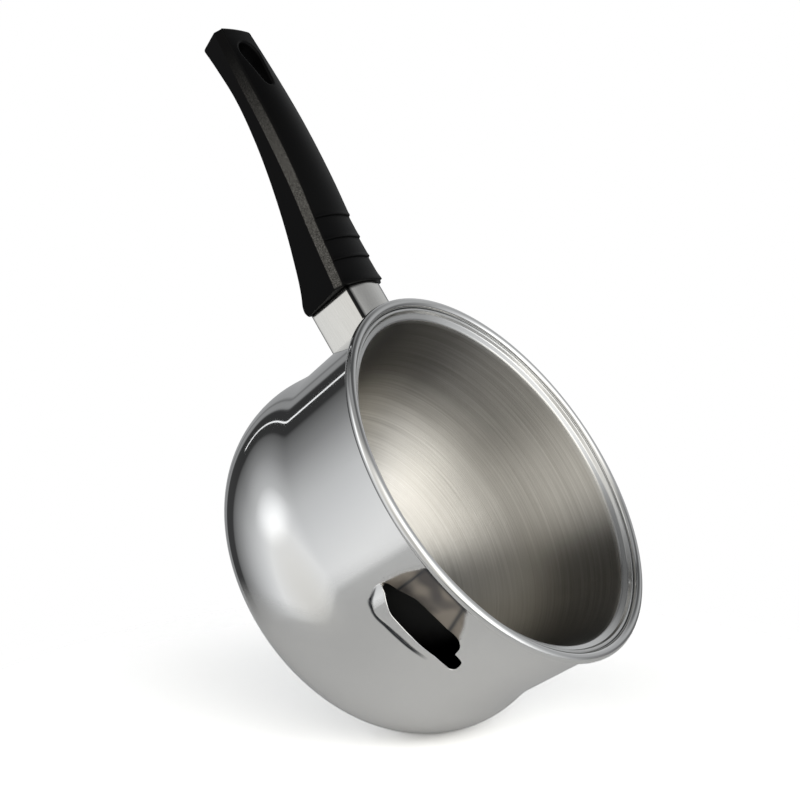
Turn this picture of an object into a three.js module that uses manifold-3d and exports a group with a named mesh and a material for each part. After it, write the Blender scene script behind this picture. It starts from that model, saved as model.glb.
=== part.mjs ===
// Candle melting pot: a double-walled steel pot with a water jacket between its
// polished outer shell and its brushed inner bowl, a filler pressed into the shell
// under the rim, and a moulded grip held to the pot by a long bolt.
//
// Millimetres, +Z up. Everything is drawn with the handle along +X, and the whole
// pot is then turned half round, so that the handle points to -X and the filler
// faces the front, -Y. The origin is the centre of the flat base.
import * as THREE from 'three';
import { mergeVertices } from 'three/addons/utils/BufferGeometryUtils.js';
import Module from 'manifold-3d';

const wasm = await Module();
wasm.setup();

// Driving dimensions.
const gap = 0.3; // between pieces that touch
const sheet = 0.8; // thickness of the pressed steel
const rimRadius = 89; // outside of the rolled bead
const rimHeight = 106; // height of the bead's centre above the base
const beadRadius = 2.2;
const segments = 60; // around the pot

// Outer shell, outside surface.
const baseRadius = 54; // flat part of the base
const bellyRadius = 87.5;
const bellyHeight = 38.7; // where the belly is widest
const shoulderRadius = 86.2;
const shoulderHeight = 51;
const waistRadius = 84.8; // foot of the straight neck
const waistHeight = 61;
const neckRadius = 85.8; // neck where it meets the bead
const neckTop = rimHeight - Math.sqrt(beadRadius ** 2 - (rimRadius - beadRadius - neckRadius) ** 2);

// Filler: a panel pressed in under the rim, a slot below it, and a lip pressed out.
const fillerAngle = THREE.MathUtils.degToRad(114); // from the handle, counter-clockwise from above
const fillerHalfAngle = THREE.MathUtils.degToRad(14);
const panelHalfAngle = THREE.MathUtils.degToRad(8.5);
const panelTop = 101;
const panelDepth = 6;
const slotTop = 82.3;
const slotBottom = 74;
const slotHalfLength = 23.7;
const slotShift = 3.7; // the slot runs further on the side away from the handle
const lipBottom = 68;
const lipHeight = 2.6;
const crowding = 0.6; // how closely the facets crowd round the filler

// Inner bowl, inside surface.
const mouthRadius = 79.9;
const mouthHeight = 103;
const flangeRadius = rimRadius - 2 * beadRadius - gap;
const flangeHeight = 104.9;
const wallFootRadius = 70.3; // foot of the cone-shaped wall
const wallFootHeight = 61.5;
const bowlFloor = 16.5;
const bowlFloorRadius = 22;

// Ferrule: a steel sleeve with flat sides and a crowned top.
const ferruleHalfWidth = 13.1;
const ferruleHalfHeight = 11.8;
const ferruleTopCrown = 2.5;
const ferruleBottomCrown = 0.4;
const ferruleWall = 1;
const ferruleRoot = 79; // inner end, before it is cut to the neck
const ferruleRootHeight = 83;
const ferrulePitch = Math.atan(0.05);

// Grip.
const gripFront = 104.4;
const spigotRoot = 96.5; // the grip's spigot fills the ferrule from here
const gripEnd = 235.4;
const gripCrown = 1.9;
const gripBottomCrown = 0.7;
const ridgeSteps = [116, 125.7, 136.5];
const ridgeHeight = 0.8;
const slotEyeCentre = 221.3;
const slotEyeRadius = 6.4;
const slotNeckCentre = 207;
const slotNeckRadius = 3.1;

// Bolt from the hanging slot to the bracket.
const boltStart = new THREE.Vector3(95, 0, 85.3);
const boltEnd = new THREE.Vector3(202.4, 0, 105.6);
const boltRadius = 2;
const barWidth = 9;
const barLength = 24;
const headRadius = 2.9;
const headLength = 2.2;
const washerThickness = 0.8;

// ---------------------------------------------------------------- tools

function weld(geometry) {
  geometry.deleteAttribute('normal');
  geometry.deleteAttribute('uv');
  return mergeVertices(geometry, 1e-4);
}

// A closed geometry as a solid that can be cut and joined.
function solid(geometry) {
  const welded = weld(geometry);
  const corners = welded.index.array;
  const triangles = [];
  for (let i = 0; i < corners.length; i += 3) {
    const [a, b, c] = corners.subarray(i, i + 3);
    if (a !== b && b !== c && c !== a) triangles.push(a, b, c);
  }
  return new wasm.Manifold(new wasm.Mesh({
    numProp: 3,
    vertProperties: new Float32Array(welded.attributes.position.array),
    triVerts: new Uint32Array(triangles),
  }));
}

function piece(name, shape, colour, roughness, metalness) {
  const { vertProperties, triVerts } = shape.getMesh();
  const geometry = new THREE.BufferGeometry();
  geometry.setAttribute('position', new THREE.BufferAttribute(vertProperties, 3));
  geometry.setIndex(new THREE.BufferAttribute(triVerts, 1));
  geometry.computeVertexNormals();
  const mesh = new THREE.Mesh(geometry, new THREE.MeshStandardMaterial({ color: colour, roughness, metalness }));
  mesh.name = name;
  return mesh;
}

// A profile of [radius, height] points turned about Z.
function revolve(profile, count = segments) {
  const points = profile.map(([radius, height]) => new THREE.Vector2(radius, height));
  return new THREE.LatheGeometry(points, count).rotateX(Math.PI / 2);
}

// An outline across the handle, extruded along +X.
function alongHandle(outline, start, end, steps = 1) {
  const geometry = new THREE.ExtrudeGeometry(outline, { depth: end - start, steps, bevelEnabled: false });
  geometry.translate(0, 0, start);
  const turn = new THREE.Matrix4().makeBasis(
    new THREE.Vector3(0, 1, 0),
    new THREE.Vector3(0, 0, 1),
    new THREE.Vector3(1, 0, 0),
  );
  return geometry.applyMatrix4(turn);
}

// A smooth line through [place, value] pairs.
function line(pairs) {
  const places = pairs.map(([place]) => place);
  const values = pairs.map(([, value]) => value);
  const curve = new THREE.CubicInterpolant(places, values, 1);
  return (place) => curve.evaluate(place)[0];
}

// ---------------------------------------------------------------- outer shell

// Points of the wall from the base to the neck, moved inwards by `inset`.
function shellWall(inset) {
  const points = [];
  const cornerSteps = 7;
  for (let i = 0; i <= cornerSteps; i += 1) {
    const turn = (i / cornerSteps) * (Math.PI / 2);
    const across = bellyRadius - baseRadius - inset;
    points.push([baseRadius + across * Math.sin(turn), bellyHeight - (bellyHeight - inset) * Math.cos(turn)]);
  }
  points.push([(bellyRadius + shoulderRadius) / 2 + 0.4 - inset, (bellyHeight + shoulderHeight) / 2]);
  points.push([shoulderRadius - inset, shoulderHeight]);
  points.push([(shoulderRadius + waistRadius) / 2 - inset, (shoulderHeight + waistHeight) / 2]);
  const neckSteps = 9;
  for (let i = 0; i <= neckSteps; i += 1) {
    const rise = i / neckSteps;
    points.push([
      THREE.MathUtils.lerp(waistRadius, neckRadius, rise) - inset,
      THREE.MathUtils.lerp(waistHeight, neckTop - beadRadius / 2, rise),
    ]);
  }
  return points;
}

// The bead that the rim is rolled into, from the neck's outside over to its inside.
function bead() {
  const points = [];
  const centre = rimRadius - beadRadius;
  const start = Math.atan2(neckTop - rimHeight, neckRadius - centre);
  const beadSteps = 9;
  for (let i = 0; i <= beadSteps; i += 1) {
    const turn = start + (i / beadSteps) * THREE.MathUtils.degToRad(297);
    points.push([centre + beadRadius * Math.cos(turn), rimHeight + beadRadius * Math.sin(turn)]);
  }
  return points;
}

// How far the filler pushes the wall out, or in where it is negative.
function fillerPush(angle, height) {
  if (height > panelTop || height < lipBottom) return 0;
  const away = Math.abs(angle);
  const sides = 1 - THREE.MathUtils.smoothstep(away, panelHalfAngle, fillerHalfAngle);
  const middle = (slotTop + slotBottom) / 2;
  if (height > middle) return -panelDepth * sides * Math.min(1, (panelTop - height) / (panelTop - slotTop));
  return lipHeight * sides * Math.min(1, (height - lipBottom) / (slotBottom - lipBottom));
}

// Crowds the facets round the filler and presses the filler into the wall.
function pressFiller(geometry) {
  const welded = weld(geometry);
  const place = welded.attributes.position;
  for (let i = 0; i < place.count; i += 1) {
    const radius = Math.hypot(place.getX(i), place.getY(i));
    const even = Math.atan2(place.getY(i), place.getX(i)) - fillerAngle;
    const angle = even - crowding * Math.sin(even);
    const wrapped = Math.atan2(Math.sin(angle), Math.cos(angle));
    const pushed = radius + (radius > baseRadius ? fillerPush(wrapped, place.getZ(i)) : 0);
    place.setX(i, pushed * Math.cos(angle + fillerAngle));
    place.setY(i, pushed * Math.sin(angle + fillerAngle));
  }
  return welded;
}

function fillerSlot() {
  const radius = (slotTop - slotBottom) / 2;
  const middle = slotBottom + radius;
  const reach = slotHalfLength - radius;
  const outline = new THREE.Shape();
  outline.absarc(slotShift + reach, middle, radius, -Math.PI / 2, Math.PI / 2, false);
  outline.absarc(slotShift - reach, middle, radius, Math.PI / 2, Math.PI * 1.5, false);
  return alongHandle(outline, 70, 95).rotateZ(fillerAngle);
}

function outerShell() {
  const outside = shellWall(0);
  const inside = shellWall(sheet).reverse();
  const profile = [[0, 0], ...outside, ...bead(), ...inside, [0, sheet]];
  const wall = solid(pressFiller(revolve(profile)));
  return wall.subtract(solid(fillerSlot()));
}

// ---------------------------------------------------------------- inner bowl

// Points of the bowl from its flange to its floor, moved outwards by `outset`.
function bowlWall(outset) {
  const curve = new THREE.CubicBezierCurve(
    new THREE.Vector2(wallFootRadius, wallFootHeight),
    new THREE.Vector2(64.8, 37.8),
    new THREE.Vector2(46, bowlFloor),
    new THREE.Vector2(bowlFloorRadius, bowlFloor),
  );
  const steps = 9;
  const points = [[flangeRadius, flangeHeight - outset]];
  points.push([mouthRadius + 1.2, mouthHeight + 0.6 - outset]);
  points.push([mouthRadius + outset * 0.6, mouthHeight - 0.8 - outset * 0.4]);
  points.push([(mouthRadius + wallFootRadius) / 2 + outset, (mouthHeight + wallFootHeight) / 2]);
  for (let i = 0; i <= steps; i += 1) {
    const at = curve.getPoint(i / steps);
    const slope = curve.getTangent(i / steps);
    points.push([at.x - slope.y * outset, at.y + slope.x * outset]);
  }
  return points;
}

function innerBowl() {
  const outside = bowlWall(sheet).reverse();
  const inside = bowlWall(0);
  return solid(revolve([[0, bowlFloor - sheet], ...outside, ...inside, [0, bowlFloor]]));
}

// ---------------------------------------------------------------- ferrule and bracket

// The ferrule's section, grown outwards by `grow`, in the plane across the handle.
function ferruleOutline(grow) {
  const width = ferruleHalfWidth + grow;
  const height = ferruleHalfHeight + grow;
  const outline = new THREE.Shape();
  outline.moveTo(-width, -height);
  outline.quadraticCurveTo(0, -height - 2 * ferruleBottomCrown, width, -height);
  outline.lineTo(width, height);
  outline.quadraticCurveTo(0, height + 2 * ferruleTopCrown, -width, height);
  outline.closePath();
  return outline;
}

// Tilts a shape drawn level along +X up to the ferrule's pitch and height.
function atFerrule(geometry) {
  return geometry
    .translate(-ferruleRoot, 0, 0)
    .rotateY(-ferrulePitch)
    .translate(ferruleRoot, 0, ferruleRootHeight);
}

// The neck's outside with clearance: what is welded to the neck is cut back to it.
function neckCutter() {
  const height = neckTop - waistHeight;
  const cone = new THREE.CylinderGeometry(neckRadius + gap, waistRadius + gap, height, 144);
  return solid(cone.rotateX(Math.PI / 2).translate(0, 0, (neckTop + waistHeight) / 2));
}

function handleFerrule() {
  const outline = ferruleOutline(0);
  outline.holes.push(ferruleOutline(-ferruleWall));
  const sleeve = solid(atFerrule(alongHandle(outline, ferruleRoot, gripFront + 2)));
  const beyond = new THREE.BoxGeometry(10, 60, 60).translate(gripFront - gap + 5, 0, ferruleRootHeight);
  return sleeve.subtract(neckCutter()).subtract(solid(beyond));
}

// A turned profile of [radius, distance] points laid along the bolt's line.
function alongBolt(profile, count = 20) {
  const points = profile.map(([radius, distance]) => new THREE.Vector2(radius, distance));
  const run = boltEnd.clone().sub(boltStart).normalize();
  const turn = new THREE.Quaternion().setFromUnitVectors(new THREE.Vector3(0, 1, 0), run);
  const geometry = new THREE.LatheGeometry(points, count).applyQuaternion(turn);
  return geometry.translate(boltStart.x, boltStart.y, boltStart.z);
}

function rod(radius, start, end) {
  return solid(alongBolt([[0, start], [radius, start], [radius, end], [0, end]]));
}

const boltLength = boltEnd.distanceTo(boltStart);
const headStart = boltLength - headLength;
const washerStart = headStart - gap - washerThickness;

// The bracket's square bar, which the bolt screws into, grown outwards by `grow`.
function bracketBar(grow) {
  const across = barWidth + 2 * grow;
  const bar = new THREE.BoxGeometry(barLength + 2 * grow, across, across);
  bar.rotateY(-Math.atan2(boltEnd.z - boltStart.z, boltEnd.x - boltStart.x));
  return solid(bar.translate(98, 0, 85.9));
}

// A foot that is spot-welded to the neck inside the ferrule, with the bar on it.
function handleBracket() {
  const foot = solid(new THREE.BoxGeometry(9, 17, 18).translate(84, 0, 83.6));
  return foot.add(bracketBar(0)).subtract(neckCutter()).subtract(rod(boltRadius + gap, -gap, boltLength));
}

function handleBolt() {
  const body = solid(alongBolt([
    [0, 0],
    [boltRadius - 0.6, 0],
    [boltRadius, 0.8],
    [boltRadius, headStart],
    [headRadius, headStart],
    [headRadius, boltLength - 0.5],
    [headRadius - 0.7, boltLength],
    [0, boltLength],
  ]));
  const drive = solid(new THREE.BoxGeometry(2, 7, 0.9).translate(boltEnd.x, 0, boltEnd.z));
  return body.subtract(drive);
}

function boltWasher() {
  const bore = boltRadius + gap;
  const end = washerStart + washerThickness;
  return solid(alongBolt([[bore, washerStart], [headRadius, washerStart], [headRadius, end], [bore, end], [bore, washerStart]]));
}

// ---------------------------------------------------------------- grip

const panelEdge = line([[104, 97.5], [130, 101.5], [156, 106.2], [184, 109.6], [210, 111.2], [236, 112.3]]);
const stripeEdge = line([[104, 93.4], [130, 97.3], [156, 101.8], [184, 105.6], [210, 107.4], [236, 109.2]]);
const underside = line([
  [104, 72.3], [106.5, 71.5], [109, 72.1], [113, 74.3], [130, 81.7],
  [156, 91.1], [184, 98], [205, 100.5], [222, 99.7], [236, 98.2],
]);
const panelWidth = line([[104, 15.1], [112, 14.5], [130, 13.7], [156, 12.7], [184, 12], [210, 11.3], [236, 10]]);
const stripeWidth = line([[104, 19], [112, 18.6], [130, 18], [156, 17], [184, 16.2], [210, 15], [236, 12.8]]);
const undersideWidth = line([[104, 15.2], [130, 15.2], [156, 15], [184, 14.8], [210, 13.8], [236, 10.8]]);

// Finger ridges: towards the pot the panel steps down, then rises to the next step.
function ridge(x) {
  const next = ridgeSteps.find((step) => x < step);
  if (next === undefined) return 0;
  const previous = [gripFront, ...ridgeSteps].filter((step) => step <= x).at(-1);
  return (-ridgeHeight * (x - previous)) / (next - previous);
}

// Section of the grip: across from -1 to 1, and level 0 at the underside, 1 at the
// stripe's lower edge, 2 at the panel's edge and 3 at the panel's crown.
function gripSection() {
  const crownSteps = 6;
  const corners = [[-0.75, -1], [0, -1.5], [0.75, -1], [1, 0.12], [1, 1], [1, 2]];
  for (let i = 1; i < crownSteps; i += 1) {
    const across = 1 - (2 * i) / crownSteps;
    corners.push([across, 3 - across ** 2]);
  }
  corners.push([-1, 2], [-1, 1], [-1, 0.12]);
  return new THREE.Shape(corners.map(([across, level]) => new THREE.Vector2(across, level)));
}

// Level and across to a point of the grip at x.
function gripPoint(x, across, level) {
  const widths = [undersideWidth(x), stripeWidth(x), panelWidth(x)];
  const heights = [underside(x), stripeEdge(x), panelEdge(x) + ridge(x)];
  const low = Math.min(1, Math.max(0, Math.floor(level)));
  const part = Math.min(1, Math.max(0, level - low));
  const crown = level > 2 ? gripCrown * (level - 2) : 0;
  const sag = level < 0 ? gripBottomCrown * -level : 0;
  const rounded = x > gripEnd - 0.5 ? 1.5 : 0;
  return [
    across * (THREE.MathUtils.lerp(widths[low], widths[low + 1], part) - rounded),
    THREE.MathUtils.lerp(heights[low], heights[low + 1], part) + crown - sag,
  ];
}

function gripStations() {
  const stations = [gripFront, 106.5, 109, 112.5];
  for (const step of ridgeSteps) stations.push(step - 0.6, step);
  for (let x = 144; x < gripEnd - 3; x += 8) stations.push(x);
  stations.push(gripEnd - 2.5, gripEnd);
  return stations;
}

function gripBody() {
  const stations = gripStations();
  const geometry = alongHandle(gripSection(), 0, stations.length - 1, stations.length - 1);
  const place = geometry.attributes.position;
  for (let i = 0; i < place.count; i += 1) {
    const x = stations[Math.round(place.getX(i))];
    place.setXYZ(i, x, ...gripPoint(x, place.getY(i), place.getZ(i)));
  }
  return solid(geometry);
}

// Pear-shaped hole that the pot hangs by, wide towards the end of the grip.
function hangingSlot() {
  const outline = new THREE.Shape();
  outline.absarc(slotEyeCentre, 0, slotEyeRadius, -Math.PI * 0.57, Math.PI * 0.57, false);
  outline.absarc(slotNeckCentre, 0, slotNeckRadius, Math.PI * 0.57, Math.PI * 1.43, false);
  const geometry = new THREE.ExtrudeGeometry(outline, { depth: 40, bevelEnabled: false, curveSegments: 16 });
  return solid(geometry.translate(0, 0, 85));
}

function handleGrip() {
  const spigot = solid(atFerrule(alongHandle(ferruleOutline(-ferruleWall - gap), spigotRoot, gripFront + 2)));
  const barrel = rod(boltRadius + gap, 0, boltLength);
  const counterbore = rod(headRadius + gap, washerStart - gap, boltLength + 4);
  return gripBody().add(spigot).subtract(bracketBar(gap)).subtract(barrel)
    .subtract(counterbore).subtract(hangingSlot());
}

// ---------------------------------------------------------------- assembly

const pot = new THREE.Group();
pot.rotation.z = Math.PI;
pot.add(
  piece('outer_shell', outerShell(), 0xc9c9c6, 0.08, 1),
  piece('inner_bowl', innerBowl(), 0xb8b2a8, 0.32, 1),
  piece('handle_bracket', handleBracket(), 0x9c9c9a, 0.4, 1),
  piece('handle_ferrule', handleFerrule(), 0xcfccc4, 0.2, 1),
  piece('handle_grip', handleGrip(), 0x131416, 0.4, 0),
  piece('handle_bolt', handleBolt(), 0xa8a8a6, 0.35, 1),
  piece('bolt_washer', boltWasher(), 0xb4b4b2, 0.35, 1),
);

export default pot;
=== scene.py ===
"""Candle melting pot: the visible surfaces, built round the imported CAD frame.

Shapes are worked out in millimetres and written to the meshes in metres. The pot stands
on the origin with +Z up, its handle points to -X and its filler faces the front.
"""

import math

import bpy
import numpy as np
from mathutils import Matrix, Vector


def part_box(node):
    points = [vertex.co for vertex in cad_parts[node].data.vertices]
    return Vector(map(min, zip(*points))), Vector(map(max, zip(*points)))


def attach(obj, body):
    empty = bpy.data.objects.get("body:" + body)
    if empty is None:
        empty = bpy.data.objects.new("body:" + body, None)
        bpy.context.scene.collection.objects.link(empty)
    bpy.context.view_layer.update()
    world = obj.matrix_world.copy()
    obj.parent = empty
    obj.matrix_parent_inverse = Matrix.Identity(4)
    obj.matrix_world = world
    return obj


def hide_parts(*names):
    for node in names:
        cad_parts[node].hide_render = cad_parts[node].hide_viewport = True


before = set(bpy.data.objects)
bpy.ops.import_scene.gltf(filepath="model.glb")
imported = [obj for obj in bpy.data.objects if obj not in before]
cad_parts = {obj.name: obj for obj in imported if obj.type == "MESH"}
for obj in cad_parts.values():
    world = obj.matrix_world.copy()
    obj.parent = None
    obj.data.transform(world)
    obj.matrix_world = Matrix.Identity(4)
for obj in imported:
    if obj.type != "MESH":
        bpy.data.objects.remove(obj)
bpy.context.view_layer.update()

MM = 0.001
scene = bpy.context.scene


# ---------- sizes from the frame


def node_box(node):
    """Lowest and highest corner of a CAD node, in millimetres."""
    low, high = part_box(node)
    return np.array(low) / MM, np.array(high) / MM


shell_low, shell_high = node_box("outer_shell")
bowl_low = node_box("inner_bowl")[0]
grip_low, grip_high = node_box("handle_grip")
ferrule_low, ferrule_high = node_box("handle_ferrule")

SHEET = 0.8  # thickness of the pressed steel
BEAD = 2.2  # radius of the rolled bead round the rim
RIM_RADIUS = min(shell_high[1], -shell_low[1], shell_high[0])
RIM_HEIGHT = shell_high[2] - BEAD  # the bead's centre

# Outside of the shell, from the base up.
BASE_RADIUS = 54.0
BELLY_RADIUS = RIM_RADIUS - 1.3
BELLY_HEIGHT = 38.7
NECK_FOOT_RADIUS = RIM_RADIUS - 3.9
NECK_FOOT_HEIGHT = 64.0
NECK_FLARE = 1.0 / 43.0  # widening of the neck for each millimetre up

# Filler, unrolled: across is measured along the neck from its middle, height above the base.
FILLER_ANGLE = math.radians(-66)
UNROLLED_RADIUS = 85.0
PANEL_TOP = 100.7
PANEL_BOTTOM = 86.0
PANEL_DEPTH = 3.9  # at its bottom, above the slot
PANEL_START = 1.3  # depth of the panel at its top, under the bead
CREASE = 0.9  # softness of the pressed creases
PATCH_SIDES = (-25.2, 32.6)  # the patch of finer mesh that holds the filler
PATCH_LEVELS = (64.0, 102.8)
LEVEL_COUNT = 54  # rows of points up the patch
FINE_COLUMNS = 72  # columns of faces across the patch
COARSE_COLUMNS = 214  # columns of points round the rest of the shell
PATCH_RINGS = 46  # rings of points between the slot and the patch's edge
RING_SPACING = 1.35  # above 1, so that the rings lie closer together at the slot

# Inside of the bowl.
MOUTH_RADIUS = RIM_RADIUS - 9.1
MOUTH_HEIGHT = RIM_HEIGHT - 3.0
FLANGE_RADIUS = RIM_RADIUS - 2 * BEAD - 0.15
FLANGE_HEIGHT = RIM_HEIGHT - 1.1
WALL_FOOT = (70.3, 61.5)
BOWL_FLOOR = bowl_low[2] + SHEET
BOWL_FLOOR_RADIUS = 22.0
BOWL_COLUMNS = 288
PAINTED_SHEEN_LEVELS = (48.0, 80.0)  # heights between which the bowl's lower painted sheen gives way to the upper

# Handle, drawn along +X and turned half round at the end.
GRIP_END = -grip_low[0]
GRIP_FRONT = -ferrule_low[0] + 0.3
GRIP_LENGTH = GRIP_END - GRIP_FRONT
SPIGOT_START = -grip_high[0]
FERRULE_HALF_WIDTH = (ferrule_high[1] - ferrule_low[1]) / 2 + 0.4
FERRULE_HALF_HEIGHT = 11.8
FERRULE_CROWN = 2.5
FERRULE_ROOT = 79.0
FERRULE_ROOT_HEIGHT = 83.0
FERRULE_PITCH = math.atan(0.05)
FERRULE_WALL = 1.0
NECK_GAP = 0.05  # between the neck and the ferrule's root
TOP_POINTS = 21  # points across the ferrule's crowned top


# ---------- mesh tools


class Net:
    """Points and faces of a mesh while it is being built, in millimetres."""

    def __init__(self):
        self.points = []
        self.faces = []
        self.count = 0

    def add(self, points):
        points = np.asarray(points, float).reshape(-1, 3)
        first = self.count
        self.points.append(points)
        self.count += len(points)
        return np.arange(first, self.count)

    def strip(self, first, second, skip=()):
        """Quads between two closed rows of points; a face looks to the right of its rows' run."""
        for i in range(len(first)):
            if i not in skip:
                j = (i + 1) % len(first)
                self.faces.append((first[i], first[j], second[j], second[i]))

    def fan(self, centre, row, flip=False):
        for i, a in enumerate(row):
            b = row[(i + 1) % len(row)]
            self.faces.append((centre, a, b) if flip else (centre, b, a))

    def strips(self, rows):
        """Quads between each row and the next."""
        for first, second in zip(rows, rows[1:]):
            self.strip(first, second)

    def all_points(self):
        return np.vstack(self.points)


def make_piece(name, node, material, net, sharp=50, turned=False, marks=()):
    """A mesh object that stands for a CAD node; marks are shares kept for its material."""
    points = net.all_points() * MM
    if turned:
        points[:, :2] *= -1
    mesh = bpy.data.meshes.new(name)
    mesh.from_pydata(points.tolist(), [], [tuple(int(i) for i in face) for face in net.faces])
    mesh.shade_smooth()
    mesh.set_sharp_from_angle(angle=math.radians(sharp))
    mesh.materials.append(material)
    for mark, parts in dict(marks).items():
        values = np.zeros(len(points), np.float32)
        for numbers, share in parts:
            values[numbers] = share
        mesh.attributes.new(mark, "FLOAT", "POINT").data.foreach_set("value", values)
    piece = bpy.data.objects.new(name, mesh)
    scene.collection.objects.link(piece)
    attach(piece, "root")
    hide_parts(node)
    return piece


def block_edge(rows, low, high):
    """What lies round a block of rows: along the first row, up the high side, and back."""
    first, last = (list(row[low : high + 1]) for row in (rows[0], rows[-1]))
    low_side, high_side = ([row[column] for row in rows] for column in (low, high))
    return np.array(first[:-1] + high_side[:-1] + last[:0:-1] + low_side[:0:-1])


def polar(radius, angles):
    return np.column_stack([radius * np.cos(angles), radius * np.sin(angles)])


def bearings_of(offset):
    return np.arctan2(offset[:, 1], offset[:, 0])


def smooth_line(pairs):
    """A smooth curve through (place, value) pairs, as a function of place."""
    places, values = np.array(pairs, float).T
    slopes = np.gradient(values, places)

    def curve(place):
        place = np.clip(place, places[0], places[-1])
        i = np.clip(np.searchsorted(places, place, side="right") - 1, 0, len(places) - 2)
        run = places[i + 1] - places[i]
        t = (place - places[i]) / run
        rest = 1 - t
        start = values[i] * (1 + 2 * t) * rest**2 + slopes[i] * run * t * rest**2
        end = values[i + 1] * (3 - 2 * t) * t**2 - slopes[i + 1] * run * rest * t**2
        return start + end

    return curve


def smooth_step(low, high, value):
    t = np.clip((value - low) / (high - low), 0, 1)
    return t * t * (3 - 2 * t)


def soft_min(a, b, softness):
    share = np.clip(0.5 + 0.5 * (b - a) / softness, 0, 1)
    return b + (a - b) * share - softness * share * (1 - share)


def rounded(corners, steps, closed=False):
    """Points of an outline whose corners (x, y, radius) are rounded, `steps` + 1 to a corner."""
    places = [np.array(corner[:2], float) for corner in corners]
    count = len(corners)
    points = []
    for i, (place, corner) in enumerate(zip(places, corners)):
        if not closed and i in (0, count - 1):
            points.append(place)
            continue
        back = places[i - 1] - place
        ahead = places[(i + 1) % count] - place
        back_unit = back / np.linalg.norm(back)
        ahead_unit = ahead / np.linalg.norm(ahead)
        half = math.acos(np.clip(back_unit @ ahead_unit, -1, 1)) / 2
        reach = corner[2] / math.tan(half)
        reach = min(reach, 0.49 * np.linalg.norm(back), 0.49 * np.linalg.norm(ahead))
        for k in range(steps + 1):
            t = k / steps
            start = place + back_unit * reach
            end = place + ahead_unit * reach
            points.append(start * (1 - t) ** 2 + place * 2 * t * (1 - t) + end * t**2)
    return np.array(points)


def even_points(line, count):
    """`count` + 1 points spread evenly along a line of points."""
    lengths = np.r_[0, np.cumsum(np.linalg.norm(np.diff(line, axis=0), axis=1))]
    at = np.linspace(0, lengths[-1], count + 1)
    return np.column_stack([np.interp(at, lengths, line[:, axis]) for axis in range(line.shape[1])])


# ---------- outer shell


def wall_radius(height):
    """Outside radius of the shell, one smooth curve from the base's corner to the neck."""
    height = np.asarray(height, float)
    drop = np.clip((BELLY_HEIGHT - height) / BELLY_HEIGHT, 0, 1)
    corner = BASE_RADIUS + (BELLY_RADIUS - BASE_RADIUS) * np.sqrt(1 - drop**2)
    neck = NECK_FOOT_RADIUS + (height - NECK_FOOT_HEIGHT) * NECK_FLARE
    run = NECK_FOOT_HEIGHT - BELLY_HEIGHT
    t = np.clip((height - BELLY_HEIGHT) / run, 0, 1)
    bend = -(BELLY_RADIUS - BASE_RADIUS) / BELLY_HEIGHT**2  # curvature the corner ends with
    shoulder = (
        BELLY_RADIUS * (1 - 10 * t**3 + 15 * t**4 - 6 * t**5)
        + bend * run**2 * (t**2 - 3 * t**3 + 3 * t**4 - t**5) / 2
        + NECK_FLARE * run * (-4 * t**3 + 7 * t**4 - 3 * t**5)
        + NECK_FOOT_RADIUS * (10 * t**3 - 15 * t**4 + 6 * t**5)
    )
    return np.where(height < BELLY_HEIGHT, corner, np.where(height < NECK_FOOT_HEIGHT, shoulder, neck))


# The slot's outline on the unrolled wall, counter-clockwise from its top left: the part
# round the narrow tip, the lower edge, the round end with its cusp, and the panel's edge.
SLOT_CORNERS = [
    (-18.8, 83.6, 2.0), (-20.6, 81.0, 0.4), (-17.0, 81.0, 3.0), (-9.0, 77.0, 10.0),
    (3.0, 76.0, 20.0), (27.2, 72.2, 2.4), (29.3, 73.6, 2.0), (28.0, 79.6, 5.5),
    (21.8, 81.4, 0.4), (20.5, 85.8, 8.0), (16.2, 88.5, 3.0), (12.4, 86.0, 3.0),
    (-6.0, 86.0, 8.0), (-13.4, 82.8, 4.0),
]
CORNER_STEPS = 10
LOWER_EDGE = (1, 8)  # the corners between which the outline is the lower edge
SLOT_SPLITS = ((-18.8, 83.0), (-11.5, 78.4), (28.4, 72.9), (16.4, 89.4))  # nearest the patch's corners

# By height: where the panel's flanks run out into the wall. By place across: how far the
# lip under the slot stands out, and how far from the slot it starts and stops falling.
recess_left_foot = smooth_line([(81, -20.4), (88, -20.1), (93, -19.4), (101, -16.6), (103, -16.0)])
recess_right_foot = smooth_line([(81, 22), (85, 20.4), (89.4, 16.6), (95, 13.4), (101, 9.0), (103, 8.0)])
lip_height = smooth_line([(-20.4, 0), (-18.5, 0.9), (-14, 2.2), (-4, 2.2), (4, 1.9), (10, 1.2), (17, 0)])
lip_foot = smooth_line([(-20.4, 3), (-17.5, 7.8), (-14, 8.3), (-5, 7.1), (4, 6.1), (16, 3.6)])
lip_hold = smooth_line([(-20.4, 1.2), (-17, 5.4), (-14, 5.8), (-7.7, 4), (0, 2.5), (13, 2.0)])

slot_outline = rounded(SLOT_CORNERS, CORNER_STEPS, closed=True)


def slot_sides(counts):
    """The slot's outline in four runs, one for each side of the patch round it."""
    closed = np.vstack([slot_outline, slot_outline[:1]])
    fine = even_points(closed, 4000)[:-1]
    starts = [int(np.argmin(np.linalg.norm(fine - np.array(split), axis=1))) for split in SLOT_SPLITS]
    runs = []
    for i, count in enumerate(counts):
        end = starts[(i + 1) % 4]
        length = (end - starts[i]) % len(fine)
        run = fine[(starts[i] + np.arange(length + 1)) % len(fine)]
        runs.append(even_points(run, count)[:-1])
    return np.vstack(runs)


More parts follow.
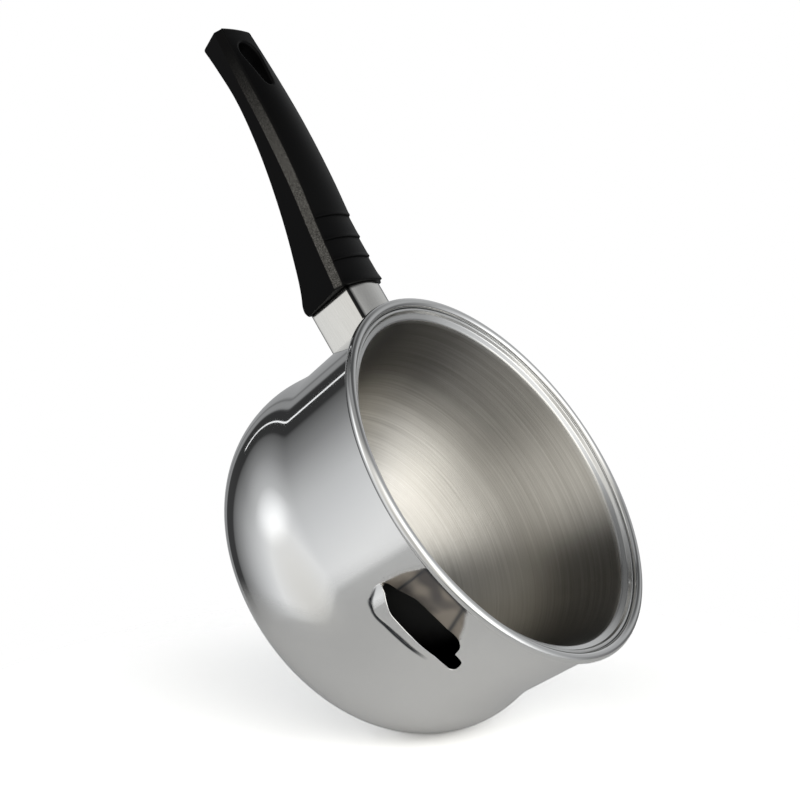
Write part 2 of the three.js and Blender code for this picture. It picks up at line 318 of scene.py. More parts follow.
def slot_distance(across, height):
    """Distance to the slot's outline, and whether the nearest edge is the upper one."""
    start = slot_outline
    run = np.roll(slot_outline, -1, axis=0) - start
    offset = np.stack([across, height], axis=-1)[..., None, :] - start
    share = np.clip((offset * run).sum(-1) / np.maximum((run**2).sum(-1), 1e-12), 0, 1)
    gap = np.linalg.norm(offset - share[..., None] * run, axis=-1)
    nearest = gap.argmin(-1)
    corner = (nearest + 0.5) / (CORNER_STEPS + 1) - 0.5
    upper = (corner < LOWER_EDGE[0]) | (corner > LOWER_EDGE[1])
    return gap.min(-1), upper


def panel_fall(height):
    """0 at the top of the panel above the slot, 1 at its bottom."""
    return (PANEL_TOP - height) / (PANEL_TOP - PANEL_BOTTOM)


def crease_lines(height):
    """Where the panel meets its two flanks."""
    fall = panel_fall(height)
    return -15.0 + 1.2 * fall, 6.3 + 6.7 * fall


def recess_depth(across, height):
    """How deep the panel above the slot is pressed in, with its two flanks."""
    left, right = crease_lines(height)
    onset = smooth_step(PATCH_LEVELS[1], PATCH_LEVELS[1] - 1.0, height)
    depth = (PANEL_START + (PANEL_DEPTH - PANEL_START) * panel_fall(height)) * onset
    flatness = np.clip((across - left) * (right - across) / (2 * UNROLLED_RADIUS), 0, None)
    panel = depth + flatness * onset
    left_foot = recess_left_foot(height)
    right_foot = recess_right_foot(height)
    left_flank = depth * (across - left_foot) / (left - left_foot)
    right_flank = depth * (right_foot - across) / (right_foot - right)
    pressed = soft_min(panel, soft_min(left_flank, right_flank, CREASE), CREASE)
    return -soft_min(-pressed, np.zeros_like(pressed), 0.5 * CREASE)


def filler_push(across, height):
    """How far the filler moves the wall outwards; inwards where it is negative."""
    distance, upper = slot_distance(across, height)
    lip = lip_height(across) * (1 - smooth_step(lip_hold(across), lip_foot(across), distance))
    inside = np.clip((height - 79) / 2, 0, 1)
    return np.where(upper, -recess_depth(across, height) * inside, lip)


def filler_marks(across, height):
    """Where the pressed panel gets its painted reflection, a dark blotched tone, and its duller finish; and
    where painted shade lies along the panel's creases and in the crease under the lip.
    """
    distance, upper = slot_distance(across, height)
    pressed = smooth_step(0.15, 0.7, recess_depth(across, height)) * upper
    left, right = crease_lines(height)
    # painted shade: dark lines along the panel's two creases and along its top under the bead
    folds = np.exp(-(((across - left) / 0.6) ** 2)) + np.exp(-(((across - right) / 0.8) ** 2))
    folds = np.maximum(np.minimum(folds, 1), smooth_step(99.8, 101.6, height))
    # painted shade: a dark band in the crease under the lip
    hold, foot = lip_hold(across), lip_foot(across)
    start = smooth_step(hold, 0.4 * hold + 0.6 * foot, distance)
    stop = smooth_step(foot + 0.9, foot + 0.2, distance)
    crease = start * stop * np.clip(lip_height(across) / 1.2, 0, 1) * ~upper
    return pressed, np.maximum(crease, folds * pressed)


def filler_point(across, height):
    radius = wall_radius(height) + filler_push(across, height)
    angle = FILLER_ANGLE + across / UNROLLED_RADIUS
    return np.stack([radius * np.cos(angle), radius * np.sin(angle), height], axis=-1)


def filler_normal(across, height):
    step = 0.05
    sideways = filler_point(across + step, height) - filler_point(across - step, height)
    upwards = filler_point(across, height + step) - filler_point(across, height - step)
    normal = np.cross(sideways, upwards)
    return normal / np.linalg.norm(normal, axis=-1, keepdims=True)


def wall_line(heights, inset=0.0):
    """Radius and height of the wall at each of these heights."""
    return [(float(wall_radius(z)) - inset, z) for z in heights]


def outside_profile(levels):
    """Radius and height of the shell's outside from the base's edge to the groove in the rim."""
    centre = RIM_RADIUS - BEAD
    turn = np.linspace(0, math.pi / 2, 44)
    corner = [
        (BASE_RADIUS + (BELLY_RADIUS - BASE_RADIUS) * math.sin(a), BELLY_HEIGHT * (1 - math.cos(a)))
        for a in turn
    ]
    base = [(radius, 0.0) for radius in (12, 26, 38, 46, 51)]
    shoulder = wall_line(np.linspace(BELLY_HEIGHT, levels[0], 34)[1:-1])
    top = RIM_HEIGHT - 2.6  # where the neck turns out into the bead
    neck_top = wall_line(np.linspace(levels[-1], top, 5)[1:])
    crease = [(neck_top[-1][0] + 0.05, top + 0.4)]
    around = np.radians(np.linspace(-112, 205, 40))
    bead = [(centre + BEAD * math.cos(a), RIM_HEIGHT + BEAD * math.sin(a)) for a in around]
    return base + corner, shoulder, wall_line(levels), neck_top + crease + bead


def inside_profile(below, shoulder, neck):
    """The same profile one sheet further in, from the rim down: above the patch, in it, below it."""
    top = RIM_HEIGHT - 3.2
    above = wall_line(np.linspace(top, neck[-1][1], 3)[:-1], SHEET)
    scale_r = (BELLY_RADIUS - SHEET - BASE_RADIUS) / (BELLY_RADIUS - BASE_RADIUS)
    rest = [(r - SHEET, z) for r, z in reversed(shoulder[::2])]
    for r, z in reversed(below[::2]):
        radius = BASE_RADIUS + (r - BASE_RADIUS) * scale_r if r > BASE_RADIUS else r
        rest.append((radius, SHEET + z * (BELLY_HEIGHT - SHEET) / BELLY_HEIGHT))
    return above, [(r - SHEET, z) for r, z in reversed(neck)], rest


def turned_rows(net, profile, angles, missing=()):
    """A ring of points for each (radius, height), without the patch's inner points in `missing`."""
    rows = []
    for i, (radius, height) in enumerate(profile):
        row = np.column_stack([polar(radius, angles), np.full(len(angles), height)])
        kept = np.ones(len(angles), bool)
        kept[1:FINE_COLUMNS] = i not in missing
        numbers = np.full(len(angles), -1)
        numbers[kept] = net.add(row[kept])
        rows.append(numbers)
    return rows


def patch_edge(rows):
    """What lies round the patch: down its left side, along the bottom, up and back."""
    return np.roll(block_edge(rows, 0, FINE_COLUMNS), LEVEL_COUNT - 1, axis=0)


def fill_patch(net, outer_frame, inner_frame):
    """The filler, from the slot's rounded edge to the patch's frame; gives the marks on it."""
    outline = slot_sides([LEVEL_COUNT - 1, FINE_COLUMNS] * 2)
    sides = np.linspace(*PATCH_SIDES, FINE_COLUMNS + 1)
    edge = patch_edge(np.stack(np.meshgrid(sides, np.linspace(*PATCH_LEVELS, LEVEL_COUNT)), axis=-1))
    outer_rings, inner_rings, pressed_marks, painted_crease_shade_marks = [], [], [], []
    for k in range(PATCH_RINGS):
        share = (k / PATCH_RINGS) ** RING_SPACING
        across, height = (outline * (1 - share) + edge * share).T
        point = filler_point(across, height)
        outer_rings.append(net.add(point))
        inner_rings.append(net.add(point - SHEET * filler_normal(across, height)))
        pressed, crease = filler_marks(across, height)
        pressed_marks.append((outer_rings[-1], pressed))
        painted_crease_shade_marks.append((outer_rings[-1], crease))
    # the filler's inner skin takes the jacket's painted shade
    hidden = [(row, 1.0) for row in inner_rings]
    outer_rings.append(outer_frame)
    inner_rings.append(inner_frame)
    for k in range(PATCH_RINGS):
        net.strip(outer_rings[k + 1], outer_rings[k])
        net.strip(inner_rings[k], inner_rings[k + 1])

    point, normal = filler_point(*outline.T), filler_normal(*outline.T)
    along = np.roll(point, -1, axis=0) - np.roll(point, 1, axis=0)
    along /= np.linalg.norm(along, axis=1, keepdims=True)
    into_slot = np.cross(normal, along)
    middle = point - 0.5 * SHEET * normal
    edge_rows = [outer_rings[0]]
    for turn in np.radians([30, 60, 90, 120, 150]):
        swing = math.cos(turn) * normal + math.sin(turn) * into_slot
        edge_rows.append(net.add(middle + 0.5 * SHEET * swing))
    net.strips([*edge_rows, inner_rings[0]])
    return {"pressed": pressed_marks, "crease": painted_crease_shade_marks, "jacket": hidden}


def build_shell():
    net = Net()
    first, last = (FILLER_ANGLE + side / UNROLLED_RADIUS for side in PATCH_SIDES)
    coarse = np.linspace(last, first + 2 * math.pi, COARSE_COLUMNS + 2)[1:-1]
    angles = np.r_[np.linspace(first, last, FINE_COLUMNS + 1), coarse]
    below, shoulder, neck, above = outside_profile(np.linspace(*PATCH_LEVELS, LEVEL_COUNT))
    inner_above, inner_neck, inner_rest = inside_profile(below, shoulder, neck)
    start, inner_start = len(below + shoulder), len(inner_above)

    def rings(profile, patch_start):
        missing = range(patch_start + 1, patch_start + LEVEL_COUNT - 1)
        return turned_rows(net, profile, angles, missing)

    pole = net.add([(0, 0, 0)])[0]
    outside = rings(below + shoulder + neck + above, start)
    inside = rings(inner_above + inner_neck + inner_rest, inner_start)
    net.fan(pole, outside[0])
    net.fan(net.add([(0, 0, SHEET)])[0], inside[-1], flip=True)

    rows = outside + inside
    patch_starts = (start, len(outside) + inner_start)
    in_patch = {first_row + k for first_row in patch_starts for k in range(LEVEL_COUNT - 1)}
    for i in range(len(rows) - 1):
        net.strip(rows[i], rows[i + 1], skip=range(FINE_COLUMNS) if i in in_patch else ())
    outer_frame = patch_edge(outside[start : start + LEVEL_COUNT])
    inner_frame = patch_edge(inside[inner_start : inner_start + LEVEL_COUNT][::-1])
    marks = fill_patch(net, outer_frame, inner_frame)
    # the shell's whole inner skin takes the jacket's painted shade
    marks["jacket"] += [(row[row >= 0], 1.0) for row in inside]
    return make_piece("polished_shell", "outer_shell", steel_polished(), net, marks=marks)


# ---------- bowl


# Painted sheen: lighter and darker sectors painted into the bowl's colour by bearing round the pot,
# standing for the glare of its turned brushing; low down and near the mouth.
lower_painted_sheen = smooth_line([
    (-180, 0.45), (-120, 0.6), (-30, 0.4), (0, 0.35), (30, 0.5), (52, 0.5),
    (75, 0.72), (100, 0.92), (128, 1.0), (150, 1.0), (180, 0.5),
])
upper_painted_sheen = smooth_line([
    (-180, 0.2), (-120, 0.4), (-30, 0.2), (0, 0.15), (30, 0.26), (54, 0.34),
    (64, 0.74), (88, 0.82), (112, 0.46), (135, 0.36), (160, 0.22), (180, 0.2),
])


def bowl_profile():
    """The hidden underside and the visible inside, as radius and height, out from the axis and back."""
    t = np.linspace(0, 1, 40)[:, None]
    bends = np.array([WALL_FOOT, (64.8, 37.8), (46.0, BOWL_FLOOR), (BOWL_FLOOR_RADIUS, BOWL_FLOOR)])
    dish = np.hstack([(1 - t) ** 3, 3 * t * (1 - t) ** 2, 3 * t**2 * (1 - t), t**3]) @ bends
    rim_corners = [
        (FLANGE_RADIUS, FLANGE_HEIGHT - SHEET, 0),
        (FLANGE_RADIUS, FLANGE_HEIGHT + 1.0, 0.7),
        (FLANGE_RADIUS - 1.3, FLANGE_HEIGHT + 1.0, 0.5),
        (FLANGE_RADIUS - 2.0, FLANGE_HEIGHT - 0.7, 1.0),
        (MOUTH_RADIUS, MOUTH_HEIGHT, 1.6),
        (*WALL_FOOT, 0),
    ]
    rim = rounded(rim_corners, 8)
    wall = even_points(rim[-2:], 24)[1:-1]
    floor = [(r, BOWL_FLOOR) for r in (16.0, 10.0, 5.0, 1.5)]
    inside = np.vstack([rim[1:-1], wall, dish, floor])
    along = np.gradient(inside, axis=0)
    along /= np.linalg.norm(along, axis=1, keepdims=True)
    outside = inside + SHEET * np.column_stack([-along[:, 1], along[:, 0]])
    outside = outside[(outside[:, 1] < FLANGE_HEIGHT - SHEET) | (outside[:, 0] < MOUTH_RADIUS)]
    return outside[::-1], [(FLANGE_RADIUS, FLANGE_HEIGHT - SHEET), *inside]


def build_bowl():
    net = Net()
    hidden, seen = bowl_profile()
    profile = [*hidden, *seen]
    bearings = np.linspace(0, 360, BOWL_COLUMNS, endpoint=False)
    rows = turned_rows(net, profile, np.radians(bearings))
    net.strips(rows)
    net.fan(net.add([(0, 0, BOWL_FLOOR - SHEET)])[0], rows[0])
    net.fan(net.add([(0, 0, BOWL_FLOOR)])[0], rows[-1], flip=True)

    bearings = np.where(bearings > 180, bearings - 360, bearings)
    flange, painted_sheen = [], []
    for row, (radius, height) in zip(rows, profile):
        flange.append((row, smooth_step(MOUTH_RADIUS - 0.6, MOUTH_RADIUS + 0.6, radius)))
        # painted sheen: the bowl's colour is made lighter or darker by bearing and height
        share = smooth_step(*PAINTED_SHEEN_LEVELS, height)
        painted_sheen.append((row, lower_painted_sheen(bearings) * (1 - share) + upper_painted_sheen(bearings) * share))
    # the bowl's hidden underside takes the jacket's painted shade
    jacket = [(row, 1.0) for row in rows[: len(hidden)]]
    marks = {"jacket": jacket, "flange": flange, "painted_sheen": painted_sheen}
    return make_piece("brushed_bowl", "inner_bowl", steel_brushed(), net, marks=marks)


# ---------- ferrule


def ferrule_section(inset):
    """Outline across the ferrule, counter-clockwise seen from the grip's end."""
    width = FERRULE_HALF_WIDTH - inset
    height = FERRULE_HALF_HEIGHT - inset
    middle = np.linspace(width - 1.5, -width + 1.5, TOP_POINTS - 4)
    across = np.r_[width - 0.8, width - 1.0, middle, -width + 1.0, -width + 0.8]
    crown = height + FERRULE_CROWN * (1 - (across / width) ** 2)
    top = np.column_stack([across, crown])
    side = [(-width + 0.8, crown[-1], 0), (-width, height, 0.7), (-width, 0, 1), (-width, -height, 1.8)]
    left = rounded([*side, (0, -height - 0.4, 1)], 6)
    right = left[::-1] * (-1, 1)
    return np.vstack([top, left[1:-1], [(0, -height - 0.4)], right[1:-1]])


def ferrule_row(section, distance=None):
    """The section at this distance from the pot's axis, or laid on the neck where none is given."""
    cosine, sine = math.cos(FERRULE_PITCH), math.sin(FERRULE_PITCH)

    def at(reach):
        x = FERRULE_ROOT + reach * cosine - section[:, 1] * sine
        z = FERRULE_ROOT_HEIGHT + reach * sine + section[:, 1] * cosine
        return np.column_stack([x, section[:, 0], z])

    if distance is not None:
        return at((distance - FERRULE_ROOT + section[:, 1] * sine) / cosine)
    reach = np.zeros(len(section))
    for _ in range(12):
        points = at(reach)
        reach += wall_radius(points[:, 2]) + NECK_GAP - np.hypot(points[:, 0], points[:, 1])
    return at(reach)


def build_ferrule():
    net = Net()
    end = GRIP_FRONT - 0.08
    outer, middle, inner = (ferrule_section(share * FERRULE_WALL) for share in (0.0, 0.5, 1.0))
    root, inner_root = ferrule_row(outer), ferrule_row(inner)
    tip, inner_tip = ferrule_row(outer, end - 0.4), ferrule_row(inner, end - 0.4)
    steps = 12
    rows = [net.add(root + (tip - root) * k / steps) for k in range(steps + 1)]
    edge = (((outer + middle) / 2, end - 0.1), (middle, end), ((inner + middle) / 2, end - 0.1))
    rows += [net.add(ferrule_row(section, distance)) for section, distance in edge]
    rows += [net.add(inner_tip + (inner_root - inner_tip) * k / steps) for k in range(steps + 1)]
    net.strips(rows + rows[:1])
    # near black along the ferrule's two upper corners, from its root to its tip
    corner = np.r_[TOP_POINTS - 3 + np.arange(8), 0, 1, 2, len(outer) - 1 - np.arange(5)]
    dark_upper_corners = [(row[corner], 1.0) for row in rows[: steps + 1]]
    return make_piece(
        "steel_ferrule", "handle_ferrule", steel_ferrule(), net,
        turned=True, marks={"dark_upper_corners": dark_upper_corners},
    )


# ---------- grip

# Lines along the grip: distance from its front face, then height above the base or half width.
panel_edge = smooth_line([(0, 97.5), (26, 101.5), (52, 106.2), (80, 109.6), (106, 111.2), (132, 112.3)])
stripe_edge = smooth_line([(0, 94.2), (26, 98.1), (52, 102.3), (80, 105.6), (106, 107.4), (132, 109.2)])
underside = smooth_line([
    (0, 72.4), (2.5, 71.7), (5, 72.3), (9, 74.6), (26, 82.1),
    (52, 91.1), (80, 98), (101, 100.5), (118, 99.7), (132, 98.2),
])
panel_width = smooth_line([(0, 15.1), (8, 14.5), (26, 13.7), (52, 12.7), (80, 12), (106, 11.3), (132, 10)])
stripe_width = smooth_line([(0, 19), (8, 18.6), (26, 18), (52, 17), (80, 16.2), (106, 15), (132, 12.8)])
underside_width = smooth_line([(0, 15.2), (52, 15), (80, 14.8), (106, 13.8), (132, 10.8)])

PANEL_CROWN = 1.9
END_CROWN = 0.5  # what is left of the crown at the grip's end
FRONT_FLARE = 0.5  # the panel's rise at the very front
UNDERSIDE_CROWN = 0.7
PANEL_STEP = 0.7  # height of the panel above the stripe's upper edge
PANEL_ROUND = 0.45  # width left at the panel's edge for its rounded corner
UNDERSIDE_ROUND = 2.0
RIDGES = (11.6, 21.3, 32.1)  # distance of the three finger ridges from the grip's front
RIDGE_HEIGHT = 0.7
RIDGE_LIP = 0.2  # rise of the lip just behind a ridge
EYE_CENTRE, EYE_RADIUS = 116.9, 6.4
NECK_CENTRE, NECK_RADIUS = 102.6, 3.1
PEAR_CENTRE = np.array([(EYE_CENTRE + NECK_CENTRE) / 2, 0.0])
ACROSS_STEPS = 40
STRIPE_POINTS = (12, 22)  # points of the side's outline that lie on the grained stripe
STRIPE_FADE = (GRIP_LENGTH - 85, GRIP_LENGTH - 8)  # where its grain gives way to plain black
SPIGOT_MIDDLE = np.array([0.0, 84.5])
SPIGOT_GAP = 1.3  # between the spigot and the ferrule's outside
SPIGOT_POWER = 6.0  # squareness of the spigot's section
FRONT_ROUND = 0.3
END_ROUND = 1.4
END_SLANT = 0.09  # how far the end face leans in for each millimetre down
HANGING_ROUND = 1.3  # rounding of the hanging slot's edges
SLOT_COLUMNS = (4, 36)  # columns of the top and the underside that the hanging slot's patch takes


def ridge_height(place):
    """Towards the pot the panel steps down at each ridge, then rises again to the next."""
    place = np.asarray(place, float)
    height = np.zeros_like(place)
    for start, end in zip((0.0, *RIDGES), RIDGES):
        inside = (place >= start) & (place < end)
        height = height - RIDGE_HEIGHT * (place - start) / (end - start) * inside
        height = height + RIDGE_LIP * np.exp(-(((place - end - 0.7) / 0.7) ** 2)) * (place > end - 0.01)
    return height + FRONT_FLARE * np.exp(-((place / 2.5) ** 2))


def grip_top(place, y):
    fade = smooth_step(100, 130, place)
    crown = (PANEL_CROWN * (1 - fade) + END_CROWN * fade) * (1 - (y / panel_width(place)) ** 2)
    return panel_edge(place) + crown + ridge_height(place)


def grip_bottom(place, y):
    return underside(place) - UNDERSIDE_CROWN * (1 - (y / underside_width(place)) ** 2)


def grip_loop(place):
    """Points round the grip at one place: the top, one side, the underside, the other side."""
    across = np.linspace(-1, 1, ACROSS_STEPS + 1)
    panel = float(panel_width(place))
    top_y = across * (panel - PANEL_ROUND)
    top = np.column_stack([top_y, grip_top(place, top_y)])
    bottom_half = float(underside_width(place))
    bottom_y = -across * (bottom_half - UNDERSIDE_ROUND)
    bottom = np.column_stack([bottom_y, grip_bottom(place, bottom_y)])
    edge = float(panel_edge(place) + ridge_height(place))
    seat = min(float(panel_edge(place)) - PANEL_STEP, edge - 0.25)
    corners = [
        (*top[-1], 0),
        (panel, edge, 0.35),
        (panel + 0.15, seat, 0.18),
        (float(stripe_width(place)), float(stripe_edge(place)), 0.7),
        (bottom_half, float(underside(place)), 2.2),
        (*bottom[0], 0),
    ]
    side = rounded(corners, 5)[1:-1]
    stripe_start = STRIPE_POINTS[0]
    flank_start = stripe_start + 6  # after the corner at the stripe's lower edge
    stripe = even_points(side[stripe_start - 1 : stripe_start + 1], 8)[1:-1]
    flank = even_points(side[flank_start - 1 : flank_start + 1], 6)[1:-1]
    panel_part, middle_part, lower_part = np.split(side, [stripe_start, flank_start])
    side = np.vstack([panel_part, stripe, middle_part, flank, lower_part])
    other = side[::-1] * (-1, 1)
    return np.vstack([top, side, bottom, other])


def grip_places():
    """Places along the grip at which it gets a row of points, closer together at each ridge."""
    places = [*np.arange(1.2, 131.0, 1.1)]
    for ridge in RIDGES:
        near = [ridge + step for step in (-0.5, -0.02, 0.25, 0.5, 0.9, 1.4, 2.0)]
        places = [p for p in places if not ridge - 0.9 < p < ridge + 2.4] + near
    return sorted(p for p in places if p < GRIP_LENGTH - END_ROUND - 0.4)


def lean(place):
    """Rows lean gradually from square at the front to the slant of the end face."""
    return END_SLANT * smooth_step(GRIP_LENGTH - 30, GRIP_LENGTH - 2, place)


def quarter_round(degrees):
    """Shares of a rounded edge's radius at these angles: left to go outwards, and gone along."""
    return [(1 - math.sin(turn), 1 - math.cos(turn)) for turn in np.radians(degrees)]


def inset_row(loop, place, sideways, upright, slant=0.0):
    """A row of a rounded end: the loop drawn in by these amounts."""
    centre = np.array([0.0, (loop[:, 1].max() + loop[:, 1].min()) / 2])
    half = np.abs(loop - centre).max(0)
    moved = centre + (loop - centre) * (1 - np.array([sideways, upright]) / half)
    x = GRIP_FRONT + place - slant * (loop[:, 1].max() - moved[:, 1])
    return np.column_stack([x, moved])


def spigot_rows(front_loop):
    """The square spigot inside the ferrule, from its chamfered cap to the grip's front face."""
    bearing = bearings_of(front_loop - SPIGOT_MIDDLE)
    wide = np.abs(np.cos(bearing) / (FERRULE_HALF_WIDTH - SPIGOT_GAP)) ** SPIGOT_POWER
    high = np.abs(np.sin(bearing) / (FERRULE_HALF_HEIGHT - SPIGOT_GAP)) ** SPIGOT_POWER
    spigot = SPIGOT_MIDDLE + polar((wide + high) ** (-1 / SPIGOT_POWER), bearing)
    cap = SPIGOT_MIDDLE + (spigot - SPIGOT_MIDDLE) * 0.95
    rows = ((SPIGOT_START, cap), (SPIGOT_START + 0.5, spigot), (GRIP_FRONT, spigot))
    return [np.column_stack([np.full(len(loop), x), loop]) for x, loop in rows]


def pear(grow, angles):
    """Outline of the hanging slot, grown by this much, at these bearings from its centre."""
    tangent = math.acos((EYE_RADIUS - NECK_RADIUS) / (EYE_CENTRE - NECK_CENTRE))
    eye = polar(EYE_RADIUS + grow, np.linspace(tangent - math.pi, math.pi - tangent, 180))
    neck = polar(NECK_RADIUS + grow, np.linspace(math.pi - tangent, math.pi + tangent, 90))
    line = np.vstack([eye + (EYE_CENTRE, 0), neck + (NECK_CENTRE, 0), eye[:1] + (EYE_CENTRE, 0)])
    offset = even_points(line, 2400)[:-1] - PEAR_CENTRE
    bearings = bearings_of(offset)
    order = np.argsort(bearings)
    reach = np.interp(angles, bearings[order], np.hypot(*offset[order].T), period=2 * math.pi)
    return PEAR_CENTRE + polar(reach, angles)


def cut_hanging_slot(net, slot_rows, bottom_start):
    """The hanging slot with rounded edges, and the faces round it on the top and the underside."""
    low, high = SLOT_COLUMNS
    points = net.all_points() - (GRIP_FRONT, 0, 0)
    bearings = bearings_of(points[block_edge(slot_rows, low, high)][:, :2] - PEAR_CENTRE)
    inner_edges = []
    for start, surface, sign in ((0, grip_top, 1), (bottom_start, grip_bottom, -1)):
        around = block_edge(slot_rows, start + low, start + high)
        edge = points[around]
        edge_gain = edge[:, 2] - surface(edge[:, 0], edge[:, 1])

        def ring(place, gain):
            height = surface(place[:, 0], place[:, 1]) + gain
            return net.add(np.column_stack([place, height]) + (GRIP_FRONT, 0, 0))

        outline = pear(HANGING_ROUND, sign * bearings)
        rings = [
            ring(outline * (1 - share) + edge[:, :2] * share, edge_gain * share)
            for share in np.arange(10) / 10
        ]
        for left, used in quarter_round([22.5, 45, 67.5, 90]):
            rings.insert(0, ring(pear(HANGING_ROUND * left, sign * bearings), -sign * HANGING_ROUND * used))
        net.strips([*rings, around])
        inner_edges.append(rings[0])
    top_edge, bottom_edge = inner_edges
    mirrored = (high - low - np.arange(len(top_edge))) % len(top_edge)
    net.strip(bottom_edge[mirrored], top_edge)


def body_rows(net, places, in_slot, first_cut, last_cut):
    """The grip's rows between its rounded ends, without the points where the slot's patch goes."""
    rows = []
    for i, place in enumerate(places):
        loop = grip_loop(place)
        x = GRIP_FRONT + place - lean(place) * (loop[:, 1].max() - loop[:, 1])
        kept = ~(in_slot & (first_cut < i < last_cut))
        numbers = np.full(len(loop), -1)
        numbers[kept] = net.add(np.column_stack([x, loop])[kept])
        rows.append(numbers)
    return rows


def stripe_marks(body, places):
    """The grained stripe on both sides, which fades out towards the grip's end."""
    stripe = np.zeros(len(body[0]))
    for k in range(*STRIPE_POINTS):
        stripe[[ACROSS_STEPS + 1 + k, -1 - k]] = 1
    marks = []
    for row, place in zip(body, places):
        share = stripe * (1 - smooth_step(*STRIPE_FADE, place))
        marks.append((row[row >= 0], share[row >= 0]))
    return marks


def build_grip():
    net = Net()
    front_loop = grip_loop(0.0)
    places = grip_places()
    first_cut = next(i for i, p in enumerate(places) if p > NECK_CENTRE - NECK_RADIUS - 4.5)
    last_cut = max(i for i, p in enumerate(places) if p < EYE_CENTRE + EYE_RADIUS + 3.6)
    bottom_start = len(front_loop) // 2
    low, high = SLOT_COLUMNS
    in_slot = np.zeros(len(front_loop), bool)
    for start in (0, bottom_start):
        in_slot[start + low + 1 : start + high] = True

    rows = [net.add(row) for row in spigot_rows(front_loop)]
    for left, used in quarter_round([0, 30, 60, 90]):
        shrink = FRONT_ROUND * left
        rows.append(net.add(inset_row(front_loop, FRONT_ROUND * used, shrink, shrink)))
    body = body_rows(net, places, in_slot, first_cut, last_cut)
    body_first = len(rows)
    rows += body
    for left, used in quarter_round([0, 18, 36, 54, 72, 90]):
        place = GRIP_LENGTH - END_ROUND * left
        row = inset_row(grip_loop(place), place, 1.2 * used, 0.6 * used, slant=lean(place))
        rows.append(net.add(row))

    skipped = {start + k for start in (0, bottom_start) for k in range(low, high)}
    for i in range(len(rows) - 1):
        cut = first_cut <= i - body_first < last_cut
        net.strip(rows[i + 1], rows[i], skip=skipped if cut else ())
    net.faces.append(tuple(rows[-1][::-1]))
    net.faces.append(tuple(rows[0]))
    cut_hanging_slot(net, body[first_cut : last_cut + 1], bottom_start)
    return make_piece(
        "moulded_grip", "handle_grip", bakelite(), net,
        sharp=38, turned=True, marks={"stripe": stripe_marks(body, places)},
    )


# ---------- materials


class Nodes:
    """A new material's node tree, with short calls to add and join nodes."""

    def __init__(self, name):
        self.material = bpy.data.materials.new(name)
        self.material.use_nodes = True
        self.tree = self.material.node_tree
        self.shader = self.tree.nodes["Principled BSDF"]

    def add(self, kind, inputs=None, **settings):
        node = self.tree.nodes.new(kind)
        for key, value in settings.items():
            setattr(node, key, value)
        for key, value in (inputs or {}).items():
            self.join(value, node.inputs[key])
        return node

    def join(self, value, socket):
        if isinstance(value, bpy.types.NodeSocket):
            self.tree.links.new(value, socket)
        else:
            socket.default_value = value

    def math(self, operation, *values, kind="ShaderNodeMath"):
        node = self.add(kind, dict(enumerate(values)), operation=operation)
        return node.outputs["Value"]

    def noise(self, vector, scale, detail=4.0, roughness=0.5):
        inputs = {"Vector": vector, "Scale": scale, "Detail": detail, "Roughness": roughness}
        return self.add("ShaderNodeTexNoise", inputs).outputs["Fac"]

    def spread(self, value, low, high):
        """A value from 0 to 1 mapped to run from low to high."""
        node = self.add("ShaderNodeMapRange", {"Value": value, "To Min": low, "To Max": high})
        return node.outputs["Result"]

    def step(self, value, low, high):
        """A soft step from 0 to 1 as the value goes from low to high."""
        inputs = {"Value": value, "From Min": low, "From Max": high}
        return self.add("ShaderNodeMapRange", inputs, interpolation_type="SMOOTHSTEP").outputs["Result"]

    def blend(self, share, first, second):
        """A colour between two, by share."""
        return self.add("ShaderNodeMix", {0: share, 6: first, 7: second}, data_type="RGBA").outputs[2]

    def between(self, share, first, second):
        """A number between two, by share."""
        return self.add("ShaderNodeMix", {0: share, 2: first, 3: second}, data_type="FLOAT").outputs[0]

    def mix_shaders(self, share, first, second):
        return self.add("ShaderNodeMixShader", {0: share, 1: first, 2: second}).outputs[0]

    def bump(self, height, strength, distance):
        inputs = {"Height": height, "Strength": strength, "Distance": distance}
        return self.add("ShaderNodeBump", inputs).outputs["Normal"]

    def mark(self, name):
        return self.add("ShaderNodeAttribute", attribute_name=name).outputs["Fac"]

    def position(self):
        return self.add("ShaderNodeTexCoord").outputs["Object"]

    def set(self, **values):
        for key, value in values.items():
            self.join(value, self.shader.inputs[key.replace("_", " ")])
        return self.material


def around_axis(nodes, radial_scale, turn_scale):
    """Coordinates that run across brushing that goes round the pot's axis."""
    split = nodes.add("ShaderNodeSeparateXYZ", {"Vector": nodes.position()})
    x, y, z = split.outputs
    squares = [nodes.math("MULTIPLY", side, side) for side in (x, y)]
    radius = nodes.math("SQRT", nodes.math("ADD", *squares))
    along = nodes.math("ADD", radius, z)
    turned = [nodes.math("MULTIPLY", nodes.math("DIVIDE", side, radius), turn_scale) for side in (x, y)]
    inputs = {0: turned[0], 1: turned[1], 2: nodes.math("MULTIPLY", along, radial_scale)}
    return nodes.add("ShaderNodeCombineXYZ", inputs).outputs[0]


JACKET_PAINTED_SHADE = (0.03, 0.03, 0.03, 1)  # painted shade: near black on the hidden sides, seen only through the filler slot, for the dark inside of the closed jacket


